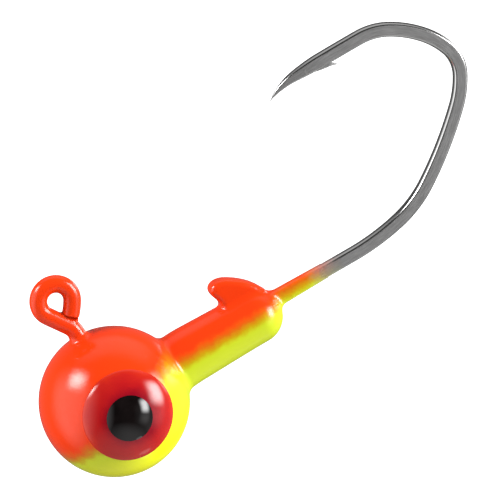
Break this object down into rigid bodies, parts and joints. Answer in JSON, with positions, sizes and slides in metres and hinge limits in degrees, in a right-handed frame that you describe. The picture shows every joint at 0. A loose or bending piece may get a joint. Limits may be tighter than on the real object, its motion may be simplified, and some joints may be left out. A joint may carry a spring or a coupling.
{
  "type": "jig head",
  "caption": "Ball-head fishing jig with a keeper collar, a bent line eyelet, domed eyes and a wide-gap barbed hook.",
  "frame": {"origin": "centre of the line eyelet's loop, where the line is tied and the jig hangs", "axes": "+X along the hook's shank from the head towards the bend, +Z from the shank towards the hook's point and the eyelet's side, +Y across, towards the right-hand eye"},
  "size_m": [0.0367, 0.0112, 0.019],
  "materials": {
    "hook_steel": "dark nickel plated, polished",
    "lead": "dull cast lead alloy",
    "powder_coat": "gloss orange over chartreuse",
    "eye_red": "gloss red enamel",
    "eye_black": "gloss black enamel"
  },
  "bodies": {
    "root": {"hook": "hook_steel", "lead_head": "lead", "paint_coat": "powder_coat", "left_iris": "eye_red", "left_pupil": "eye_black", "right_iris": "eye_red", "right_pupil": "eye_black"}
  },
  "joints": []
}
